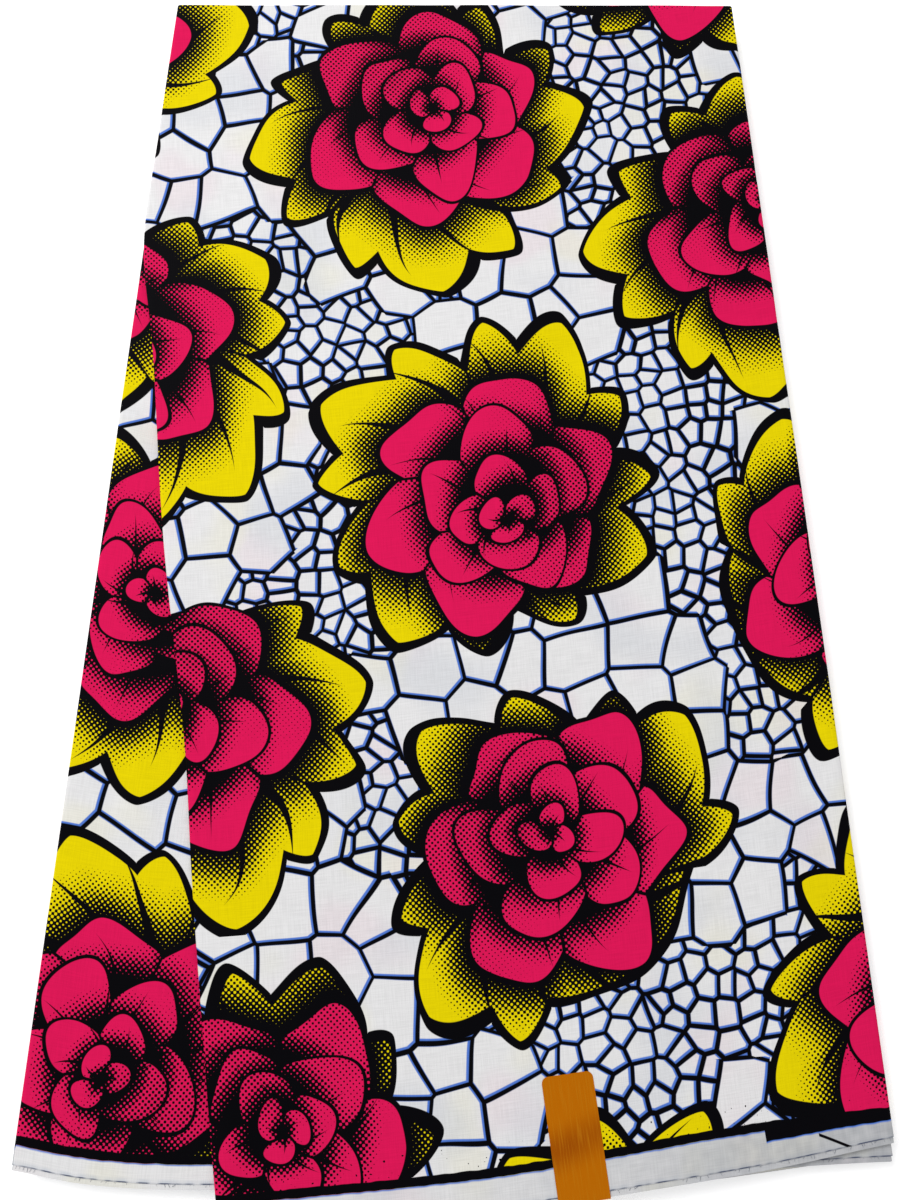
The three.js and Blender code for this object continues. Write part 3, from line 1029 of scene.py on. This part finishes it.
# Ends of thread that fray out of a cut selvedge. Sizes in mm, chance as a share.
frayTop = {"Spacing": 1.5, "Chance": 0.42, "Reach": 1.9, "Thread": 0.17, "Seed": 3}
frayUnder = {"Spacing": 1.7, "Chance": 0.36, "Reach": 1.7, "Thread": 0.17, "Seed": 11}
frayForm = {  # of one thread: mm, and how far it may turn, in radians
    "root": 0.6,
    "bow": 0.35,
    "steps": 4,
    "sides": 5,
    "turnFrom": (-0.25, -1.0, -0.9),
    "turnTo": (0.05, 1.0, 0.9),
    "shortest": 0.35,  # as a share of the reach
}


def frayTree():
    tree = bpy.data.node_groups.new("frayedEdge", "GeometryNodeTree")
    inputs = {"Edge": "Geometry", "Spacing": "Float", "Chance": "Float", "Reach": "Float"}
    inputs |= {"Thread": "Float", "Seed": "Int", "Cloth": "Material"}
    for name, kind in inputs.items():
        tree.interface.new_socket(name, in_out="INPUT", socket_type="NodeSocket" + kind)
    tree.interface.new_socket("Threads", in_out="OUTPUT", socket_type="NodeSocketGeometry")

    def node(kind, settings=None, inputs=None):
        return newNode(tree, kind, settings, inputs)

    given = node("NodeGroupInput").outputs
    line = node("GeometryNodeMeshToCurve", {}, {"Mesh": given["Edge"]}).outputs[0]
    stops = node("GeometryNodeCurveToPoints", {"mode": "LENGTH"}, {"Curve": line, "Length": given["Spacing"]})
    forward = node("ShaderNodeMath", {"operation": "MULTIPLY"}, {0: given["Reach"], 1: -1.0})
    hanging = node("ShaderNodeCombineXYZ", {}, {"Y": forward.outputs[0]})
    bent = node("ShaderNodeVectorMath", {"operation": "MULTIPLY"}, {0: hanging.outputs[0], 1: (0, 0.5, 0)})
    aside = {0: bent.outputs[0], 1: (frayForm["bow"] * mm, 0, 0)}
    bent = node("ShaderNodeVectorMath", {"operation": "ADD"}, aside)
    thread = node("GeometryNodeCurveQuadraticBezier", {}, {
        "Resolution": frayForm["steps"],
        "Start": (0, frayForm["root"] * mm, 0),
        "Middle": bent.outputs[0],
        "End": hanging.outputs[0],
    })
    radius = node("ShaderNodeMath", {"operation": "MULTIPLY"}, {0: given["Thread"], 1: 0.5}).outputs[0]
    ring = node("GeometryNodeCurvePrimitiveCircle", {}, {"Resolution": frayForm["sides"], "Radius": radius})
    tube = node("GeometryNodeCurveToMesh", {}, {
        "Curve": thread.outputs[0], "Profile Curve": ring.outputs["Curve"], "Fill Caps": True,
    })
    kept = node("FunctionNodeRandomValue", {"data_type": "BOOLEAN"}, {
        "Probability": given["Chance"], "Seed": given["Seed"],
    })
    turned = node("FunctionNodeRandomValue", {"data_type": "FLOAT_VECTOR"}, {
        0: frayForm["turnFrom"], 1: frayForm["turnTo"], "Seed": given["Seed"],
    })
    grown = node("FunctionNodeRandomValue", {"data_type": "FLOAT"}, {
        2: frayForm["shortest"], 3: 1.0, "Seed": given["Seed"],
    })
    placed = node("GeometryNodeInstanceOnPoints", {}, {
        "Points": stops.outputs["Points"],
        "Selection": kept.outputs[3],
        "Instance": tube.outputs[0],
        "Rotation": turned.outputs[0],
        "Scale": grown.outputs[1],
    })
    real = node("GeometryNodeRealizeInstances", {}, {0: placed.outputs[0]})
    finish = node("GeometryNodeSetMaterial", {}, {"Geometry": real.outputs[0], "Material": given["Cloth"]})
    node("NodeGroupOutput", {}, {0: finish.outputs[0]})
    return tree


def frayedEdge(name, tree, row, settings, cloth):
    mesh = bpy.data.meshes.new(name + "Line")
    mesh.from_pydata(row.tolist(), [(k, k + 1) for k in range(len(row) - 1)], [])
    holder = linked(name + "Line", mesh)
    modifier = holder.modifiers.new("fray", "NODES")
    modifier.node_group = tree
    sizes = {**settings, "Cloth": cloth}
    for key in ("Spacing", "Reach", "Thread"):
        sizes[key] = settings[key] * mm
    for socket in tree.interface.items_tree:
        if socket.name in sizes:
            modifier[socket.identifier] = sizes[socket.name]
    return linked(name, evaluated(holder))


printedCotton = clothMaterial()
for piece in (topPanel, underPanel, hiddenLayers):
    piece.data.materials.append(printedCotton)
fray = frayTree()
topFray = frayedEdge("topFray", fray, topFront, frayTop, printedCotton)
underFray = frayedEdge("underFray", fray, underFront, frayUnder, printedCotton)
print("frayed threads", len(topFray.data.polygons) + len(underFray.data.polygons), "faces")
sticker.data.materials.append(stickerMaterial())
print("materials made")

for piece, node, slot in (
    (topPanel, "top_panel", "printed_cotton"),
    (underPanel, "under_panel", "printed_cotton"),
    (hiddenLayers, "hidden_layers", "folded_layers"),
    (sticker, "label", "foil_label"),
):
    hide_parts(node)
    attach(piece, "root")
for piece in (topFray, underFray):
    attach(piece, "root")

# The table top, the lights and the camera
stage = {
    "tableSize": 60.0,
    "tableDrop": 0.2,  # mm, so that it never meets the underside
    "tableRoughness": 0.9,
    "tableColour": (0.955, 0.955, 0.96, 1),
    "tableGlow": 0.30,
    "skyStrength": 0.66,
    "sunFrom": (-0.6, 0.55, 0.8),
    "sunSpread": 22,  # degrees, as of a large soft window
    "sunStrength": 1.0,
    "lampPlace": (-0.55, 0.45, 0.85),
    "lampSize": 0.6,
    "lampPower": 3.6,
}


def makeTable():
    mesh = bpy.data.meshes.new("tableTop")
    size = stage["tableSize"]
    corners = [(-size, -size, 0), (size, -size, 0), (size, size, 0), (-size, size, 0)]
    mesh.from_pydata([(x, y, z - stage["tableDrop"] * mm) for x, y, z in corners], [], [(0, 1, 2, 3)])
    table = linked("tableTop", mesh)
    graph = Graph("paleTable")
    shader = graph.node("BsdfPrincipled", {}, {
        "Base Color": stage["tableColour"],
        "Roughness": stage["tableRoughness"],
        "Emission Color": (1, 1, 1, 1),
        "Emission Strength": stage["tableGlow"],
    })
    graph.node("OutputMaterial", {}, {"Surface": shader.outputs[0]})
    mesh.materials.append(graph.material)


def makeLights():
    world = bpy.data.worlds.new("studio")
    world.use_nodes = True
    sky = world.node_tree.nodes["Background"]
    sky.inputs["Color"].default_value = (1, 1, 1, 1)
    sky.inputs["Strength"].default_value = stage["skyStrength"]
    bpy.context.scene.world = world
    window = bpy.data.lights.new("windowLight", "SUN")
    window.energy = stage["sunStrength"]
    window.angle = math.radians(stage["sunSpread"])
    lamp = bpy.data.lights.new("sideLamp", "AREA")
    lamp.size = stage["lampSize"]
    lamp.energy = stage["lampPower"]
    for light, place in ((window, stage["sunFrom"]), (lamp, stage["lampPlace"])):
        holder = linked(light.name, light)
        holder.location = place
        holder.rotation_euler = (-Vector(place)).to_track_quat("-Z", "Y").to_euler()


# The photograph is 900 by 1200 pixels, taken almost straight down
view = {
    "over": (174.0, 195.0),  # plan point right below the lens
    "height": 494.9,  # above the table
    "pitch": 80.67,
    "roll": 4.86,
    "focalPixels": 1000,
    "picturePixels": 1200,
    "sensor": 36,
}


def makeCamera():
    pitch, roll = math.radians(view["pitch"]), math.radians(view["roll"])
    forward = Vector((0, math.cos(pitch), -math.sin(pitch)))
    level = Vector((1, 0, 0))
    upward = Vector((0, math.sin(pitch), math.cos(pitch)))
    right = level * math.cos(roll) + upward * math.sin(roll)
    up = upward * math.cos(roll) - level * math.sin(roll)
    data = bpy.data.cameras.new("overhead")
    data.sensor_fit = "VERTICAL"
    data.sensor_height = view["sensor"]
    data.lens = view["sensor"] * view["focalPixels"] / view["picturePixels"]
    data.clip_start = 0.01
    camera = linked("overhead", data)
    x, y = view["over"]
    place = Vector(toRow(x, y, view["height"]).tolist())
    turned = Matrix((right, up, -forward)).transposed().to_4x4()
    camera.matrix_world = Matrix.Translation(place) @ turned
    bpy.context.scene.camera = camera


makeTable()
makeLights()
makeCamera()
bpy.context.scene.view_settings.view_transform = "Standard"
print("stage set")
